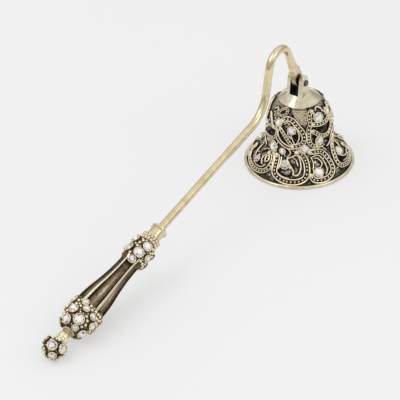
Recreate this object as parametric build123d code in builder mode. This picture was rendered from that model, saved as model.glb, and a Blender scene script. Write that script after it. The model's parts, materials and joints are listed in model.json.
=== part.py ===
"""Jewelled candle snuffer: a flared bell hung from a gooseneck rod with a fluted, stone-set handle.

The snuffer stands as it does on a table, with the bell on its rim and the ball of the handle down.
+X runs from the ball towards the bell, +Z is up, and the origin is under the middle of the whole.
"""

import os
from math import atan2, cos, degrees, hypot, radians, sin

from build123d import *

# Bell
mouth_diameter = 50.0
bell_height = 32.2
bell_wall = 1.2
crown_round = 3.5
shoulder_round = 12.0
waist_round = 5.0
skirt_round = 4.0
edge_round = 3.0
rim_wire_diameter = 1.8
rim_flat_depth = 0.15

# Corners of the bell's outline, from the crown down to the mouth, as shares of the mouth's radius
# and of the bell's height
outline_shares = ((0.452, 1.0), (0.564, 0.75), (0.608, 0.35), (0.84, 0.187), (0.928, 0.046))

# Scrollwork on the bell
scroll_relief = 0.9
scroll_width = 2.2
curl_width = 1.0
scroll_split_share = 0.48
scroll_top_share = 0.975
scroll_start_share = 0.4
front_azimuth = 218.0
seat_gap = 0.04
node_gap = 0.3

# Hanger cap, its screw and the pivot
cap_diameter = 18.8
cap_rim_height = 0.8
cap_height = 4.4
neck_diameter = 8.6
ear_width = 4.8
ear_foot_width = 7.0
ear_thickness = 2.0
ear_gap = 4.4
ear_rise = 1.0
ear_round = 0.7
slot_floor_height = 36.3
screw_hole_play = 0.2
pivot_height = 42.3
pivot_setback = 1.5
pin_diameter = 2.0
pin_head_diameter = 2.9
pin_head_thickness = 0.6
screw_diameter = 3.0
screw_length = 5.2
screw_head_diameter = 5.6
screw_head_height = 2.0
screw_slot_width = 0.8
screw_slot_depth = 0.9
washer_diameter = 8.4
washer_thickness = 0.7

# Rod
rod_diameter = 3.5
handle_slope = 13.4
straight_length = 135.9
lower_bend_radius = 15.0
leg_slope = 77.0
leg_length = 11.1
hook_radius = 7.5
drop_slope = -66.0
paddle_width = 5.0
paddle_thickness = 3.4
paddle_length = 8.0
tang_width = 5.2
tang_thickness = 2.4
tang_length = 8.2
tenon_diameter = 2.4
tenon_depth = 1.5

# Handle, piece by piece up its axis; the finial is measured from the middle of its ball
finial_diameter = 7.6
finial_length = 5.9
finial_stem_diameter = 4.2
finial_ring_diameter = 5.4
finial_ring_thickness = 1.0
spool_length = 3.5
spool_rim = 0.7
spool_rim_diameter = 5.2
spool_waist_diameter = 3.9
bulb_diameter = 13.0
shaft_length = 33.1
shaft_end_diameter = 8.4
barrel_lead = 1.9
barrel_diameter = 9.8
barrel_length = 8.0
grip_tail = 1.8
grip_end_diameter = 8.0
collar_length = 3.2
collar_diameter = 7.4
collar_bead_diameter = 1.4
collar_bead_count = 16
sleeve_length = 4.4
sleeve_diameter = 6.2
flange_thickness = 1.6
flange_diameter = 7.4

# Shaft of the grip: shares of its length from bulb to end, and of the bulb's radius
shaft_shares = ((0.25, 1.01), (0.43, 0.93), (0.6, 0.79), (0.78, 0.69))

# Flutes of the shaft, as shares of the shaft's own radius
flute_count = 6
flute_radius_share = 0.6
flute_centre_share = 1.325
flute_setback = 7.1

# Stones, by the diameters that such stones are sold in, and their cups
stone_sizes = {"large": 3.9, "medium": 3.4, "small": 2.7, "tiny": 2.3}
stone_sides = 8
cup_sides = 12
cup_wall = 0.35
cup_rise = 0.75
cup_depth = 0.45
cup_root = 1.6
girdle_height = 0.25
crown_height_share = 0.19
table_share = 0.55

# Fits
fit_clearance = 0.02
rod_clearance = 0.05
pivot_clearance = 0.05
overrun = 1.0
search_steps = 40

# Stones of the bell's front half, which the back half repeats: azimuth from the front, height share, size
bell_stone_shares = (
    (-45, 0.81, "medium"),
    (-80, 0.68, "medium"),
    (-18, 0.75, "medium"),
    (36, 0.89, "large"),
    (62, 0.91, "small"),
    (-52, 0.42, "large"),
    (-33, 0.41, "small"),
    (4, 0.48, "medium"),
    (31, 0.57, "medium"),
    (-24, 0.26, "large"),
    (20, 0.18, "large"),
    (68, 0.26, "large"),
    (-68, 0.2, "small"),
)

# Rings of the skirt's scrollwork, front half: azimuth, half width and half height as shares of the
# mouth's radius, middle as a share of the bell's height, and how far the top stands open
skirt_loop_shares = (
    (-60, 0.29, 0.185, 0.195, 0.4),
    (-14, 0.32, 0.232, 0.234, 0.5),
    (27, 0.22, 0.244, 0.256, 0),
    (71, 0.32, 0.268, 0.262, 0.45),
)

# Curls inside the rings, front half: azimuth, then start, middle and end as degrees and height shares
skirt_curl_shares = (
    ((-21, 0.36), (-14, 0.28), (-6, 0.17)),
    ((-52, 0.31), (-57, 0.23), (-52, 0.15)),
    ((22, 0.37), (29, 0.35), (31, 0.23)),
    ((62, 0.43), (76, 0.37), (80, 0.2)),
)

# Leaves of the crown's scrollwork, front half: azimuth, height share, half length and half width as
# shares of the mouth's radius, and tilt
crown_leaf_shares = (
    (-32, 0.61, 0.18, 0.09, -40),
    (-59, 0.61, 0.17, 0.095, 32),
    (-7, 0.615, 0.12, 0.07, 70),
    (46, 0.717, 0.19, 0.085, -6),
    (82, 0.615, 0.17, 0.09, 60),
)

# Bands of the crown's scrollwork, front half: points as degrees and height shares
crown_band_shares = (
    ((-38, 0.94), (-26, 0.91), (-12, 0.88), (-3, 0.79), (3, 0.7), (0, 0.57)),
    ((16, 0.95), (12, 0.88), (11, 0.77), (11, 0.61), (16, 0.52)),
    ((16, 0.83), (30, 0.81), (44, 0.82), (60, 0.81)),
    ((14, 0.78), (24, 0.72), (36, 0.6), (52, 0.56), (62, 0.64)),
    ((-79, 0.84), (-68, 0.89), (-56, 0.9), (-48, 0.95)),
    ((-66, 0.87), (-58, 0.79), (-50, 0.72), (-42, 0.72)),
)

# Stones of the ball: turn about the axis from the top, lean towards the bell, size
finial_stones = (
    (20, -20, "medium"),
    (130, -20, "medium"),
    (240, -20, "medium"),
    (75, 6, "medium"),
    (185, 6, "medium"),
    (300, 6, "medium"),
    (20, 36, "tiny"),
    (130, 36, "tiny"),
    (240, 36, "tiny"),
    (75, -58, "small"),
    (185, -58, "small"),
    (300, -58, "small"),
)

# Stones of the grip's front half, which the back half repeats: station as a share of the bulb's
# radius from its middle, or of the barrel's length from its middle, then turn, lean and size
bulb_stone_shares = (
    (0, -5, 0, "medium"),
    (0, -10, -40, "medium"),
    (0, 34, -21, "large"),
    (0, 48, -50, "tiny"),
    (0, 96, -40, "medium"),
    (0, 88, -2, "small"),
    (0.74, 14, 0, "tiny"),
    (0.28, 30, 8, "tiny"),
    (0.37, 64, 0, "tiny"),
    (0.12, -48, 0, "small"),
    (0.76, -42, 0, "medium"),
)
barrel_stone_shares = (
    (-0.19, -27, 0, "large"),
    (0.44, -30, 0, "medium"),
    (-0.245, 34, 0, "large"),
    (0.32, 46, 0, "medium"),
    (-0.09, 86, 0, "small"),
    (-0.66, 31, -10, "small"),
)
back_turn = 180

# Where the bent rod starts, turns and ends, worked out run by run from the middle of the ball
slope = radians(handle_slope)
rise = radians(leg_slope)
fall = radians(drop_slope)
stone_reach = hypot(
    finial_diameter / 2 + cup_rise - cup_depth + girdle_height + crown_height_share * stone_sizes["medium"],
    table_share * stone_sizes["medium"] / 2,
)
finial_height = stone_reach
bend_run = lower_bend_radius * (sin(rise) - sin(slope))
bend_rise = lower_bend_radius * (cos(slope) - cos(rise))
hook_run = hook_radius * (sin(rise) - sin(fall))
hook_rise = hook_radius * (cos(fall) - cos(rise))
drop_start_height = (
    finial_height + straight_length * sin(slope) + bend_rise + leg_length * sin(rise) + hook_rise
)
drop_length = (pivot_height - drop_start_height) / sin(fall)
pivot_reach = (
    straight_length * cos(slope) + bend_run + leg_length * cos(rise) + hook_run + drop_length * cos(fall)
)
bell_reach = pivot_reach + pivot_setback
mouth_radius = mouth_diameter / 2
bell_x = (stone_reach + bell_reach + mouth_radius) / 2 - mouth_radius
finial_x = bell_x - bell_reach
pivot_x = bell_x - pivot_setback

# Stations up the handle's axis, where each piece starts on the one before
spool_start = finial_length
grip_start = spool_start + spool_length
bulb_radius = bulb_diameter / 2
bulb_foot = spool_rim_diameter / 2
bulb_station = grip_start + (bulb_radius**2 - bulb_foot**2) ** 0.5
flute_start = bulb_station + flute_setback
shaft_end = bulb_station + shaft_length
barrel_radius = barrel_diameter / 2
barrel_start = shaft_end + barrel_lead
barrel_end = barrel_start + barrel_length
grip_end = barrel_end + grip_tail
sleeve_start = grip_end + collar_length
flange_start = sleeve_start + sleeve_length
scroll_start = scroll_start_share * mouth_radius

# Planes and axes: the handle's outline lies in handle_plane, x along its axis and y away from it
bell_plane = Plane(origin=(bell_x, 0, 0), x_dir=(1, 0, 0), z_dir=(0, -1, 0))
bell_axis = Axis((bell_x, 0, 0), (0, 0, 1))
finial_centre = Vector(finial_x, 0, finial_height)
handle_direction = Vector(cos(slope), 0, sin(slope))
handle_top = Vector(-sin(slope), 0, cos(slope))
handle_side = Vector(0, -1, 0)
handle_plane = Plane(origin=finial_centre, x_dir=handle_direction, z_dir=(0, -1, 0))
handle_axis = Axis(finial_centre, handle_direction)
pivot = Vector(pivot_x, 0, pivot_height)


def cross_plane(station):
    """The plane square to the handle's axis at a station, with its y towards the top."""
    return Plane(
        origin=finial_centre + handle_direction * station,
        x_dir=handle_side,
        z_dir=handle_direction,
    )


def handle_stone_plane(station, turn, lean, reach):
    """The seat of a handle stone, facing out at the given turn and lean, reach away from the axis."""
    across = handle_top * cos(radians(turn)) + handle_side * sin(radians(turn))
    outward = across * cos(radians(lean)) + handle_direction * sin(radians(lean))
    origin = finial_centre + handle_direction * station + outward * reach
    return Plane(origin=origin, x_dir=handle_side.cross(outward), z_dir=outward)


def outward_at(azimuth):
    """The level direction out of the bell at an azimuth measured from its front."""
    heading = radians(front_azimuth + azimuth)
    return Vector(cos(heading), sin(heading), 0)


def bell_line():
    """The bell's outline, from the screw hole out over the crown and down to the mouth."""
    corners = [(share * mouth_radius, height * bell_height) for share, height in outline_shares]
    inner = (screw_diameter / 2 + rod_clearance, bell_height)
    foot = (corners[-1][0], 0)
    rounds = [crown_round, shoulder_round, waist_round, skirt_round, edge_round]
    return FilletPolyline(inner, *corners, foot, radius=rounds)


with BuildLine(bell_plane) as bell_outline:
    bell_line()
outline = bell_outline.wires()[0]


def outline_share_at(height):
    """How far along the bell's outline it comes down to a height, as a share of its length."""
    above, below = 0, 1
    for _ in range(search_steps):
        middle = (above + below) / 2
        if (outline @ middle).Z > height:
            above = middle
        else:
            below = middle
    return below


def bell_stone_plane(azimuth, height_share):
    """The seat of a stone on the bell, square to its wall, at an azimuth from the front."""
    share = outline_share_at(height_share * bell_height)
    point, along = outline @ share, outline % share
    outward, up = outward_at(azimuth), Vector(0, 0, 1)
    normal = outward * -along.Z + up * along.X
    origin = Vector(bell_x, 0, 0) + outward * (point.X - bell_x) + up * point.Z
    return Plane(origin=origin, x_dir=up.cross(outward), z_dir=normal)


def tangent_plane(azimuth):
    """An upright plane through the bell's axis, facing out at an azimuth, with its y up."""
    outward = outward_at(azimuth)
    return Plane(origin=(bell_x, 0, 0), x_dir=Vector(0, 0, 1).cross(outward), z_dir=outward)


def flat_point(azimuth, degrees_along, height_share):
    """A point of the bell's wall, given by degrees and height, seen on the tangent plane at azimuth."""
    height = height_share * bell_height
    radius = (outline @ outline_share_at(height)).X - bell_x
    return radius * sin(radians(degrees_along - azimuth)), height


def relief_ring(stand_off, low, high):
    """A skin over the bell's wall, between two heights, that scrollwork is cut from."""
    with BuildPart() as ring:
        with BuildSketch(bell_plane):
            with BuildLine():
                bell_line()
                offset(amount=stand_off, side=Side.LEFT)
            make_face()
            with BuildLine():
                bell_line()
                offset(amount=seat_gap, side=Side.LEFT)
            make_face(mode=Mode.SUBTRACT)
            with Locations((mouth_radius, (low + high) / 2)):
                Rectangle(mouth_diameter, high - low, mode=Mode.INTERSECT)
        revolve(axis=bell_axis)
    return ring.part


def add_cups(planes_by_size):
    """Stone cups standing on the given planes, each with a flat-bottomed recess."""
    for size, planes in planes_by_size.items():
        radius = stone_sizes[size] / 2
        with BuildSketch(*[plane.offset(-cup_root) for plane in planes]) as bases:
            RegularPolygon(radius + cup_wall, cup_sides, major_radius=False)
        extrude(bases.sketch, amount=cup_root + cup_rise)
        with BuildSketch(*[plane.offset(cup_rise - cup_depth) for plane in planes]) as floors:
            RegularPolygon(radius + fit_clearance, cup_sides, major_radius=False)
        extrude(floors.sketch, amount=cup_depth, mode=Mode.SUBTRACT)


def add_crystals(planes_by_size):
    """Flat-backed faceted stones lying in the recesses of their cups."""
    for size, planes in planes_by_size.items():
        diameter = stone_sizes[size]
        radius = diameter / 2 - fit_clearance
        crown_height = crown_height_share * diameter
        crown_lean = degrees(atan2(radius - table_share * diameter / 2, crown_height))
        base = cup_rise - cup_depth + fit_clearance
        with BuildSketch(*[plane.offset(base) for plane in planes]) as backs:
            RegularPolygon(radius, stone_sides)
        extrude(backs.sketch, amount=girdle_height)
        with BuildSketch(*[plane.offset(base + girdle_height) for plane in planes]) as girdles:
            RegularPolygon(radius, stone_sides)
        extrude(girdles.sketch, amount=crown_height, taper=crown_lean)


def clear_seats():
    """Cut a round gap for every stone cup of the bell out of the part at hand."""
    for size, planes in bell_seats.items():
        with BuildSketch(*[plane.offset(-cup_root) for plane in planes]) as gaps:
            Circle(stone_sizes[size] / 2 + cup_wall + node_gap)
        extrude(gaps.sketch, amount=cup_root + cup_rise + overrun, mode=Mode.SUBTRACT)


def by_size(seats):
    """The seats' planes grouped by the size of their stones."""
    groups = {}
    for plane, size in seats:
        groups.setdefault(size, []).append(plane)
    return groups


finial_seats = by_size(
    (handle_stone_plane(0, turn, lean, finial_diameter / 2), size)
    for turn, lean, size in finial_stones
)
bulb_seats = by_size(
    (handle_stone_plane(bulb_station + share * bulb_radius, turn + back, lean, bulb_radius), size)
    for back in (0, back_turn)
    for share, turn, lean, size in bulb_stone_shares
)
barrel_middle = barrel_start + barrel_length / 2
barrel_seats = by_size(
    (handle_stone_plane(barrel_middle + share * barrel_length, turn + back, lean, barrel_radius), size)
    for back in (0, back_turn)
    for share, turn, lean, size in barrel_stone_shares
)
bell_seats = by_size(
    (bell_stone_plane(azimuth + back, height_share), size)
    for back in (0, back_turn)
    for azimuth, height_share, size in bell_stone_shares
)

# Finial: ball, stem and ring in one turning, bored for the rod's tenon
with BuildPart() as finial:
    with BuildSketch(handle_plane):
        Circle(finial_diameter / 2)
        with Locations((spool_start / 2, 0)):
            Rectangle(spool_start, finial_stem_diameter)
        with Locations((spool_start - finial_ring_thickness / 2, 0)):
            Rectangle(finial_ring_thickness, finial_ring_diameter)
        split(bisect_by=Plane.ZX)
    revolve(axis=handle_axis)
    with BuildSketch(cross_plane(-tenon_depth)):
        Circle(tenon_diameter / 2 + fit_clearance)
    extrude(amount=spool_start + tenon_depth, mode=Mode.SUBTRACT)
finial.part.label = "finial"

# Cups stand on the ball, clear of it by the seat gap
with BuildPart() as finial_cups:
    add_cups(finial_seats)
    with BuildSketch(handle_plane):
        Circle(finial_diameter / 2 + seat_gap)
        split(bisect_by=Plane.ZX)
    revolve(axis=handle_axis, mode=Mode.SUBTRACT)
    with BuildSketch(cross_plane(0)):
        Circle(finial_stem_diameter / 2 + seat_gap)
    extrude(amount=spool_start, mode=Mode.SUBTRACT)
finial_cups.part.label = "finial_cups"

with BuildPart() as finial_crystals:
    add_crystals(finial_seats)
finial_crystals.part.label = "finial_crystals"

# Spool between ball and grip: two rims and a hollow waist, bored for the tenon
with BuildPart() as neck_spool:
    with BuildSketch(handle_plane):
        with BuildLine():
            left, right = spool_start, grip_start
            inner = tenon_diameter / 2 + fit_clearance
            rim, waist = spool_rim_diameter / 2, spool_waist_diameter / 2
            Polyline((left + spool_rim, waist), (left + spool_rim, rim), (left, rim), (left, inner),
                     (right, inner), (right, rim), (right - spool_rim, rim), (right - spool_rim, waist))
            Line((right - spool_rim, waist), (left + spool_rim, waist))
        make_face()
    revolve(axis=handle_axis)
    rim_edges = neck_spool.edges().filter_by(GeomType.CIRCLE).sort_by(SortBy.RADIUS)[-4:]
    chamfer(rim_edges, length=spool_rim / 4)
neck_spool.part.label = "neck_spool"

# Grip: bulb, tapering shaft and swollen barrel in one hollow casting, cut by the flutes
shaft_points = [(bulb_station, bulb_radius)]
shaft_points += [(bulb_station + along * shaft_length, share * bulb_radius) for along, share in shaft_shares]
shaft_points += [(shaft_end, shaft_end_diameter / 2)]
bore_radius = rod_diameter / 2 + rod_clearance


def grip_line(grown):
    """The grip's outline from foot to top, grown outwards, in the handle's plane."""
    bulb_reach = bulb_radius + grown
    foot_reach = (bulb_reach**2 - (bulb_station - grip_start) ** 2) ** 0.5
    RadiusArc((grip_start, foot_reach), (bulb_station, bulb_reach), bulb_reach)
    Spline(*[(station, radius + grown) for station, radius in shaft_points], tangents=[(1, 0), (1, 0)])
    Polyline(
        (shaft_end, shaft_end_diameter / 2 + grown),
        (barrel_start, barrel_radius + grown),
        (barrel_end, barrel_radius + grown),
        (grip_end, grip_end_diameter / 2 + grown),
    )
    return foot_reach


def clear_grip():
    """Cut the grip's own room, grown by the seat gap, out of the cups at hand."""
    with BuildSketch(handle_plane) as room:
        with BuildLine():
            foot_reach = grip_line(seat_gap)
            Polyline(
                (grip_end, grip_end_diameter / 2 + seat_gap),
                (grip_end, 0),
                (grip_start, 0),
                (grip_start, foot_reach),
            )
        make_face()
    revolve(room.sketch, axis=handle_axis, mode=Mode.SUBTRACT)


with BuildPart() as grip:
    with BuildSketch(handle_plane):
        with BuildLine():
            foot_reach = grip_line(0)
            Polyline(
                (grip_end, grip_end_diameter / 2),
                (grip_end, bore_radius),
                (grip_start, bore_radius),
                (grip_start, foot_reach),
            )
        make_face()
    revolve(axis=handle_axis)

    # Each flute is cut by a taper that follows the shaft, one between every two ridges
    flute_stations = [(flute_start, bulb_radius)]
    flute_stations += [point for point in shaft_points if point[0] > flute_start]
    for turn in range(flute_count):
        half_turn = 180 / flute_count
        around = radians(2 * half_turn * turn + half_turn)
        across = handle_top * cos(around) + handle_side * sin(around)
        flute_sections = []
        for station, radius in flute_stations:
            section_plane = cross_plane(station)
            section_plane.origin += across * (radius * flute_centre_share)
            with BuildSketch(section_plane) as section:
                Circle(radius * flute_radius_share)
            flute_sections.append(section.sketch)
        loft(flute_sections, ruled=True, mode=Mode.SUBTRACT)
grip.part.label = "grip"

with BuildPart() as bulb_cups:
    add_cups(bulb_seats)
    clear_grip()
bulb_cups.part.label = "bulb_cups"

with BuildPart() as bulb_crystals:
    add_crystals(bulb_seats)
bulb_crystals.part.label = "bulb_crystals"

with BuildPart() as barrel_cups:
    add_cups(barrel_seats)
    clear_grip()
barrel_cups.part.label = "barrel_cups"

with BuildPart() as barrel_crystals:
    add_crystals(barrel_seats)
barrel_crystals.part.label = "barrel_crystals"

# Collar, sleeve and flange follow one another up the rod
with BuildPart() as beaded_collar:
    with BuildSketch(cross_plane(grip_end)):
        Circle(collar_diameter / 2)
        with PolarLocations(collar_diameter / 2, collar_bead_count):
            Circle(collar_bead_diameter / 2)
        Circle(bore_radius, mode=Mode.SUBTRACT)
    extrude(amount=collar_length)
beaded_collar.part.label = "beaded_collar"

with BuildPart() as collar_sleeve:
    with BuildSketch(cross_plane(sleeve_start)):
        Circle(sleeve_diameter / 2)
        Circle(bore_radius, mode=Mode.SUBTRACT)
    extrude(amount=sleeve_length)
collar_sleeve.part.label = "collar_sleeve"

with BuildPart() as rod_flange:
    with BuildSketch(cross_plane(flange_start)):
        Circle(flange_diameter / 2)
        Circle(bore_radius, mode=Mode.SUBTRACT)
    extrude(amount=flange_thickness)
    outer_edges = rod_flange.edges().filter_by(GeomType.CIRCLE).sort_by(SortBy.RADIUS)[-2:]
    chamfer(outer_edges, length=flange_thickness / 4)
rod_flange.part.label = "rod_flange"

# Rod: a tenon in the finial, the straight through the handle, the gooseneck and the flat tang
drop_direction = Vector(cos(fall), 0, sin(fall))
drop_normal = Vector(-sin(fall), 0, cos(fall))
paddle_start = pivot - drop_direction * (tang_length + paddle_length)
tang_start = pivot - drop_direction * tang_length
rod_start = finial_centre + handle_direction * grip_start
with BuildPart() as rod:
    with BuildLine(Plane.XZ) as rod_line:
        first = Line((rod_start.X, rod_start.Z), (
            finial_x + straight_length * cos(slope),
            finial_height + straight_length * sin(slope),
        ))
        lower = JernArc(first @ 1, first % 1, lower_bend_radius, leg_slope - handle_slope)
        leg = PolarLine(lower @ 1, leg_length, leg_slope)
        hook = JernArc(leg @ 1, leg % 1, hook_radius, drop_slope - leg_slope)
        Line(hook @ 1, (paddle_start.X, paddle_start.Z))
    with BuildSketch(cross_plane(grip_start)):
        Circle(rod_diameter / 2)
    sweep(path=rod_line.wires()[0])

    # The paddle spreads from the round rod to the rounded bar above the tang
    with BuildSketch(Plane(origin=paddle_start, x_dir=drop_normal, z_dir=drop_direction)) as paddle_top:
        Circle(rod_diameter / 2)
    with BuildSketch(Plane(origin=tang_start, x_dir=drop_normal, z_dir=drop_direction)) as paddle_foot:
        Ellipse(paddle_width / 2, paddle_thickness / 2)
    loft([paddle_top.sketch, paddle_foot.sketch])

    with BuildSketch(Plane.XZ.offset(-tang_thickness / 2)):
        with Locations((pivot.X, pivot.Z)):
            Circle(tang_width / 2)
        with Locations(((tang_start.X + pivot.X) / 2, (tang_start.Z + pivot.Z) / 2)):
            Rectangle(tang_length, tang_width, rotation=drop_slope)
    extrude(amount=tang_thickness)
    with BuildSketch(Plane.XZ.offset(-paddle_width / 2)):
        with Locations((pivot.X, pivot.Z)):
            Circle(pin_diameter / 2 + pivot_clearance)
    extrude(amount=paddle_width, mode=Mode.SUBTRACT)
    with BuildSketch(cross_plane(seat_gap - tenon_depth)):
        Circle(tenon_diameter / 2)
    extrude(amount=grip_start + tenon_depth - seat_gap)
rod.part.label = "rod"

# Bell shell: one turned wall, open below, with a flat foot and a hole for the cap's screw
with BuildPart() as bell_shell:
    with BuildSketch(bell_plane):
        with BuildLine():
            bell_line()
            offset(amount=bell_wall, side=Side.RIGHT)
        make_face()
    revolve(axis=bell_axis)
bell_shell.part.label = "bell_shell"

# Wire round the rim, flattened where the bell stands on it
wire_radius = rim_wire_diameter / 2
rim_radius = outline_shares[-1][0] * mouth_radius
with BuildPart() as rim_wire:
    with BuildSketch(bell_plane):
        with Locations((rim_radius + seat_gap + wire_radius, wire_radius - rim_flat_depth)):
            Circle(wire_radius)
        split(bisect_by=Plane.ZX)
    revolve(axis=bell_axis)
rim_wire.part.label = "rim_wire"

# Scrollwork cast for the skirt and for the crown, let in round the stone cups
rim_top = rim_wire_diameter - rim_flat_depth + node_gap
scroll_split = scroll_split_share * bell_height
scroll_top = scroll_top_share * bell_height
with BuildPart() as skirt_scrolls:
    for back in (0, back_turn):
        for azimuth, half_width, half_height, middle, opening in skirt_loop_shares:
            width, height = half_width * mouth_radius, half_height * mouth_radius
            with BuildSketch(tangent_plane(azimuth + back).offset(scroll_start)) as loops:
                with Locations((0, middle * bell_height)):
                    Ellipse(width, height)
                    Ellipse(width - scroll_width, height - scroll_width, mode=Mode.SUBTRACT)
                if opening > 0:
                    with Locations((0, middle * bell_height + height)):
                        Rectangle(2 * opening * width, 3 * scroll_width, mode=Mode.SUBTRACT)
            extrude(loops.sketch, amount=mouth_radius)
        for curl in skirt_curl_shares:
            middle_azimuth = curl[1][0]
            with BuildSketch(tangent_plane(middle_azimuth + back).offset(scroll_start)) as curls:
                with BuildLine():
                    Spline(*[flat_point(middle_azimuth, *place) for place in curl])
                trace(line_width=curl_width)
            extrude(curls.sketch, amount=mouth_radius)
    add(relief_ring(scroll_relief, rim_top, scroll_split), mode=Mode.INTERSECT)
    clear_seats()
skirt_scrolls.part.label = "skirt_scrolls"

with BuildPart() as crown_scrolls:
    for back in (0, back_turn):
        for azimuth, middle, half_length, half_width, tilt in crown_leaf_shares:
            with BuildSketch(tangent_plane(azimuth + back).offset(scroll_start)) as leaves:
                with Locations((0, middle * bell_height)):
                    Ellipse(half_length * mouth_radius, half_width * mouth_radius, rotation=tilt)
            extrude(leaves.sketch, amount=mouth_radius)
        for band in crown_band_shares:
            middle_azimuth = (band[0][0] + band[-1][0]) / 2
            with BuildSketch(tangent_plane(middle_azimuth + back).offset(scroll_start)) as bands:
                with BuildLine():
                    Spline(*[flat_point(middle_azimuth, *place) for place in band])
                trace(line_width=scroll_width)
            extrude(bands.sketch, amount=mouth_radius)
    add(relief_ring(scroll_relief, scroll_split + node_gap, scroll_top), mode=Mode.INTERSECT)
    clear_seats()
crown_scrolls.part.label = "crown_scrolls"

# Cups on the bell, cut to sit on its wall
with BuildPart() as bell_cups:
    add_cups(bell_seats)
    with BuildSketch(bell_plane):
        with BuildLine() as skin:
            bell_line()
            offset(amount=seat_gap, side=Side.LEFT, closed=False)
            skin_wire = skin.line.wires()[0]
            Polyline(skin_wire @ 0, (0, 0), (0, bell_height + seat_gap), skin_wire @ 1)
        make_face()
    revolve(axis=bell_axis, mode=Mode.SUBTRACT)
bell_cups.part.label = "bell_cups"

with BuildPart() as bell_large_crystals:
    add_crystals({"large": bell_seats["large"]})
bell_large_crystals.part.label = "bell_large_crystals"

with BuildPart() as bell_small_crystals:
    add_crystals({size: planes for size, planes in bell_seats.items() if size != "large"})
bell_small_crystals.part.label = "bell_small_crystals"

# Hanger cap: a low cone on the crown under two rounded ears, which the slot parts, with the pin across
cap_top = bell_height + cap_height
ear_span = ear_gap + 2 * ear_thickness
with BuildPart() as hanger_cap:
    with BuildSketch(Plane.XZ.offset(-ear_span / 2)):
        with Locations((pivot_x, pivot_height + ear_rise)):
            Circle(ear_width / 2)
        with Locations((pivot_x, bell_height + cap_rim_height)):
            Rectangle(ear_foot_width, 2 * cap_rim_height)
        make_hull()
    extrude(amount=ear_span)
    ear_faces = hanger_cap.faces().sort_by(Axis.Y)
    fillet(ear_faces[0].edges() + ear_faces[-1].edges(), radius=ear_round)
    with BuildSketch(bell_plane):
        with BuildLine():
            Polyline(
                (0, bell_height),
                (cap_diameter / 2, bell_height),
                (cap_diameter / 2, bell_height + cap_rim_height),
                (neck_diameter / 2, cap_top),
                (0, cap_top),
                close=True,
            )
        make_face()
    revolve(axis=bell_axis)
    slot_height = pivot_height + ear_width + ear_rise - slot_floor_height
    with BuildSketch(Plane.YZ.offset(bell_x - cap_diameter)):
        with Locations((0, slot_floor_height + slot_height / 2)):
            Rectangle(ear_gap, slot_height)
    extrude(amount=2 * cap_diameter, mode=Mode.SUBTRACT)
    with BuildSketch(Plane.XZ.offset(-ear_span / 2)):
        with Locations((pivot_x, pivot_height)):
            Circle(pin_diameter / 2 + fit_clearance)
    extrude(amount=ear_span, mode=Mode.SUBTRACT)
    with BuildSketch(Plane(origin=(bell_x, 0, bell_height))):
        Circle(screw_diameter / 2 + fit_clearance)
    extrude(
        amount=screw_length - bell_wall - washer_thickness + screw_hole_play,
        mode=Mode.SUBTRACT,
    )
hanger_cap.part.label = "hanger_cap"

washer_top = bell_height - bell_wall
with BuildPart() as cap_washer:
    with BuildSketch(Plane(origin=(bell_x, 0, washer_top - washer_thickness))):
        Circle(washer_diameter / 2)
        Circle(screw_diameter / 2 + rod_clearance, mode=Mode.SUBTRACT)
    extrude(amount=washer_thickness)
cap_washer.part.label = "cap_washer"

screw_seat = washer_top - washer_thickness
with BuildPart() as cap_screw:
    with BuildSketch(Plane(origin=(bell_x, 0, screw_seat))):
        Circle(screw_diameter / 2)
    extrude(amount=screw_length)
    with BuildSketch(Plane(origin=(bell_x, 0, screw_seat - screw_head_height))):
        Circle(screw_head_diameter / 2)
    extrude(amount=screw_head_height)
    with BuildSketch(Plane(origin=(bell_x, 0, screw_seat - screw_head_height))):
        Rectangle(screw_head_diameter, screw_slot_width)
    extrude(amount=screw_slot_depth, mode=Mode.SUBTRACT)
cap_screw.part.label = "cap_screw"

# Pivot pin, peened over outside both ears
with BuildPart() as pivot_pin:
    with BuildSketch(Plane.XZ.offset(-ear_span / 2)):
        with Locations((pivot_x, pivot_height)):
            Circle(pin_diameter / 2)
    extrude(amount=ear_span)
    for side in (-1, 1):
        with BuildSketch(Plane(
            origin=(pivot_x, side * ear_span / 2, pivot_height), x_dir=(1, 0, 0), z_dir=(0, side, 0),
        )):
            Circle(pin_head_diameter / 2)
        extrude(amount=pin_head_thickness)
    head_edges = pivot_pin.edges().filter_by(GeomType.CIRCLE).group_by(Axis.Y)
    chamfer(head_edges[0] + head_edges[-1], length=pin_head_thickness / 2)
pivot_pin.part.label = "pivot_pin"

nodes = (
    finial,
    finial_cups,
    finial_crystals,
    neck_spool,
    grip,
    bulb_cups,
    bulb_crystals,
    barrel_cups,
    barrel_crystals,
    beaded_collar,
    collar_sleeve,
    rod_flange,
    rod,
    bell_shell,
    rim_wire,
    skirt_scrolls,
    crown_scrolls,
    bell_cups,
    bell_large_crystals,
    bell_small_crystals,
    hanger_cap,
    cap_washer,
    cap_screw,
    pivot_pin,
)
os.makedirs("parts", exist_ok=True)
for node in nodes:
    export_step(node.part, f"parts/{node.part.label}.step")
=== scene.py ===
"""Looks of the jewelled candle snuffer: antiqued gold scrollwork, faceted stones and a polished rod.

Lengths named with _mm are millimetres, and everything placed in Blender is in metres. Places on the
bell are degrees from its front and a height. Places on the handle are a station, which runs up its
axis from the middle of the ball, and a turn, which is degrees from its top towards the front.
"""

import json
import math
import random

import bmesh
import bpy
from mathutils import Matrix, Vector
from mathutils.bvhtree import BVHTree
from mathutils.kdtree import KDTree


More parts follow.
